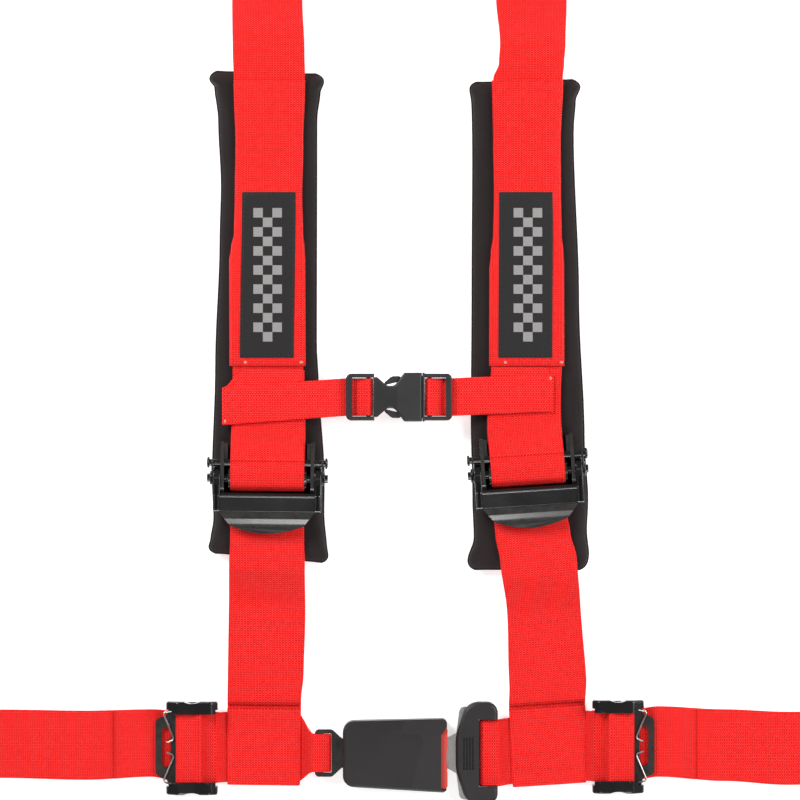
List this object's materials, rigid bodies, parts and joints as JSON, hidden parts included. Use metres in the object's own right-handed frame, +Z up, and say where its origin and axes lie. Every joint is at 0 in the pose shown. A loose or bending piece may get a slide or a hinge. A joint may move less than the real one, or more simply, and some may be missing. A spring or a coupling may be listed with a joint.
{
  "type": "racing harness",
  "caption": "Webbing racing harness laid flat: padded shoulder straps with lever adjusters, sternum clip, lap belts with slides, push-button latch and bolt-in end brackets.",
  "frame": {"origin": "middle of the harness's bounding box, on the surface that it lies on", "axes": "+Z up out of the surface, +Y up the shoulder straps to the shoulder brackets, +X to the tongue side along the lap belt"},
  "size_m": [1.006, 0.9438, 0.0332],
  "materials": {
    "webbing_red": "bright red woven polyester webbing",
    "pad_black": "brushed black microsuede",
    "label_black": "woven black label",
    "plastic_black": "fine-grained moulded plastic",
    "plastic_red": "moulded red plastic",
    "steel_black": "semi-gloss black coated steel",
    "steel_bright": "plain bright steel"
  },
  "bodies": {
    "left_side": {"left_shoulder_strap": "webbing_red", "left_adjuster_frame": "steel_black", "left_guide_pin": "steel_bright", "left_lever_springs": "steel_bright", "left_lower_strap": "webbing_red", "left_slide_frame": "steel_black", "left_slide_springs": "steel_bright", "left_lap_strap_outer": "webbing_red", "left_lap_strap_inner": "webbing_red", "left_sternum_strap": "webbing_red", "latch_casing_upper": "plastic_black", "latch_casing_lower": "plastic_black", "latch_screws": "steel_bright", "latch_frame": "steel_bright", "anchor_plate": "steel_black", "anchor_rivets": "steel_bright", "button_springs": "steel_bright", "pawl_pin": "steel_bright", "clip_socket": "plastic_black"},
    "right_side": {"right_shoulder_strap": "webbing_red", "right_adjuster_frame": "steel_black", "right_guide_pin": "steel_bright", "right_lever_springs": "steel_bright", "right_lower_strap": "webbing_red", "right_slide_frame": "steel_black", "right_slide_springs": "steel_bright", "right_lap_strap_outer": "webbing_red", "right_lap_strap_inner": "webbing_red", "right_sternum_strap": "webbing_red", "tongue_plate": "steel_bright", "tongue_cover": "plastic_black", "clip_plug": "plastic_black"},
    "left_lever_body": {"left_release_lever": "steel_black", "left_web_drum": "steel_black"},
    "left_slide_bar_body": {"left_slide_bar": "steel_black"},
    "left_pad_body": {"left_shoulder_pad": "pad_black", "left_pad_sleeve": "webbing_red", "left_label": "label_black"},
    "left_shoulder_bracket_body": {"left_shoulder_bracket": "steel_black"},
    "left_lap_bracket_body": {"left_lap_bracket": "steel_black"},
    "right_lever_body": {"right_release_lever": "steel_black", "right_web_drum": "steel_black"},
    "right_slide_bar_body": {"right_slide_bar": "steel_black"},
    "right_pad_body": {"right_shoulder_pad": "pad_black", "right_pad_sleeve": "webbing_red", "right_label": "label_black"},
    "right_shoulder_bracket_body": {"right_shoulder_bracket": "steel_black"},
    "right_lap_bracket_body": {"right_lap_bracket": "steel_black"},
    "button_body": {"release_button": "plastic_red"},
    "pawl_body": {"latch_pawl": "steel_bright"},
    "ejector_body": {"ejector": "plastic_black"},
    "prong_upper_body": {"clip_prong_upper": "plastic_black"},
    "prong_lower_body": {"clip_prong_lower": "plastic_black"}
  },
  "joints": [
    {"name": "right_side_slide", "type": "slide", "parent": "left_side", "child": "right_side", "axis": [1, 0, 0], "range_m": [0, 0.045]},
    {"name": "left_lever_hinge", "type": "hinge", "parent": "left_side", "child": "left_lever_body", "pos_m": [-0.0944, -0.2382, 0.02375], "axis": [-0.9999, 0.0122, 0], "range_deg": [0, 50], "stiffness_Nm_per_rad": 0.1},
    {"name": "left_slide_bar_slide", "type": "slide", "parent": "left_side", "child": "left_slide_bar_body", "axis": [-1, 0, 0], "range_m": [0, 0.004], "stiffness_N_per_m": 300},
    {"name": "left_pad_slide", "type": "slide", "parent": "left_side", "child": "left_pad_body", "axis": [0, 1, 0], "range_m": [0, 0.025]},
    {"name": "left_shoulder_bracket_swing", "type": "hinge", "parent": "left_side", "child": "left_shoulder_bracket_body", "pos_m": [-0.0944, 0.4209, 0.00515], "axis": [1, 0, 0], "range_deg": [-45, 90]},
    {"name": "left_lap_bracket_swing", "type": "hinge", "parent": "left_side", "child": "left_lap_bracket_body", "pos_m": [-0.452, -0.4313, 0.00515], "axis": [0, 1, 0], "range_deg": [-45, 90]},
    {"name": "right_lever_hinge", "type": "hinge", "parent": "right_side", "child": "right_lever_body", "pos_m": [0.0912, -0.2339, 0.02375], "axis": [-0.9978, -0.0663, 0], "range_deg": [0, 50], "stiffness_Nm_per_rad": 0.1},
    {"name": "right_slide_bar_slide", "type": "slide", "parent": "right_side", "child": "right_slide_bar_body", "axis": [1, 0, 0], "range_m": [0, 0.004], "stiffness_N_per_m": 300},
    {"name": "right_pad_slide", "type": "slide", "parent": "right_side", "child": "right_pad_body", "axis": [0, 1, 0], "range_m": [0, 0.025]},
    {"name": "right_shoulder_bracket_swing", "type": "hinge", "parent": "right_side", "child": "right_shoulder_bracket_body", "pos_m": [0.0912, 0.4209, 0.00515], "axis": [1, 0, 0], "range_deg": [-45, 90]},
    {"name": "right_lap_bracket_swing", "type": "hinge", "parent": "right_side", "child": "right_lap_bracket_body", "pos_m": [0.452, -0.4303, 0.00515], "axis": [0, -1, 0], "range_deg": [-45, 90]},
    {"name": "button_press", "type": "slide", "parent": "left_side", "child": "button_body", "axis": [-1, 0, 0], "range_m": [0, 0.004], "stiffness_N_per_m": 600, "deforming": ["button_springs"]},
    {"name": "pawl_lift", "type": "hinge", "parent": "left_side", "child": "pawl_body", "pos_m": [-0.009, -0.4351, 0.0124], "axis": [0, -1, 0], "range_deg": [0, 6.5]},
    {"name": "ejector_slide", "type": "slide", "parent": "left_side", "child": "ejector_body", "axis": [1, 0, 0], "range_m": [0, 0.006]},
    {"name": "prong_upper_flex", "type": "hinge", "parent": "right_side", "child": "prong_upper_body", "pos_m": [0.0143, -0.1703, 0.0184], "axis": [0, 0, 1], "range_deg": [0, 8], "stiffness_Nm_per_rad": 0.2},
    {"name": "prong_lower_flex", "type": "hinge", "parent": "right_side", "child": "prong_lower_body", "pos_m": [0.0143, -0.1903, 0.0184], "axis": [0, 0, -1], "range_deg": [0, 8], "stiffness_Nm_per_rad": 0.2}
  ],
  "couplings": [
    {"joint": "pawl_lift", "follows": "button_press", "rad_per_m": 26.18},
    {"joint": "ejector_slide", "follows": "right_side_slide", "ratio": 0.13}
  ]
}
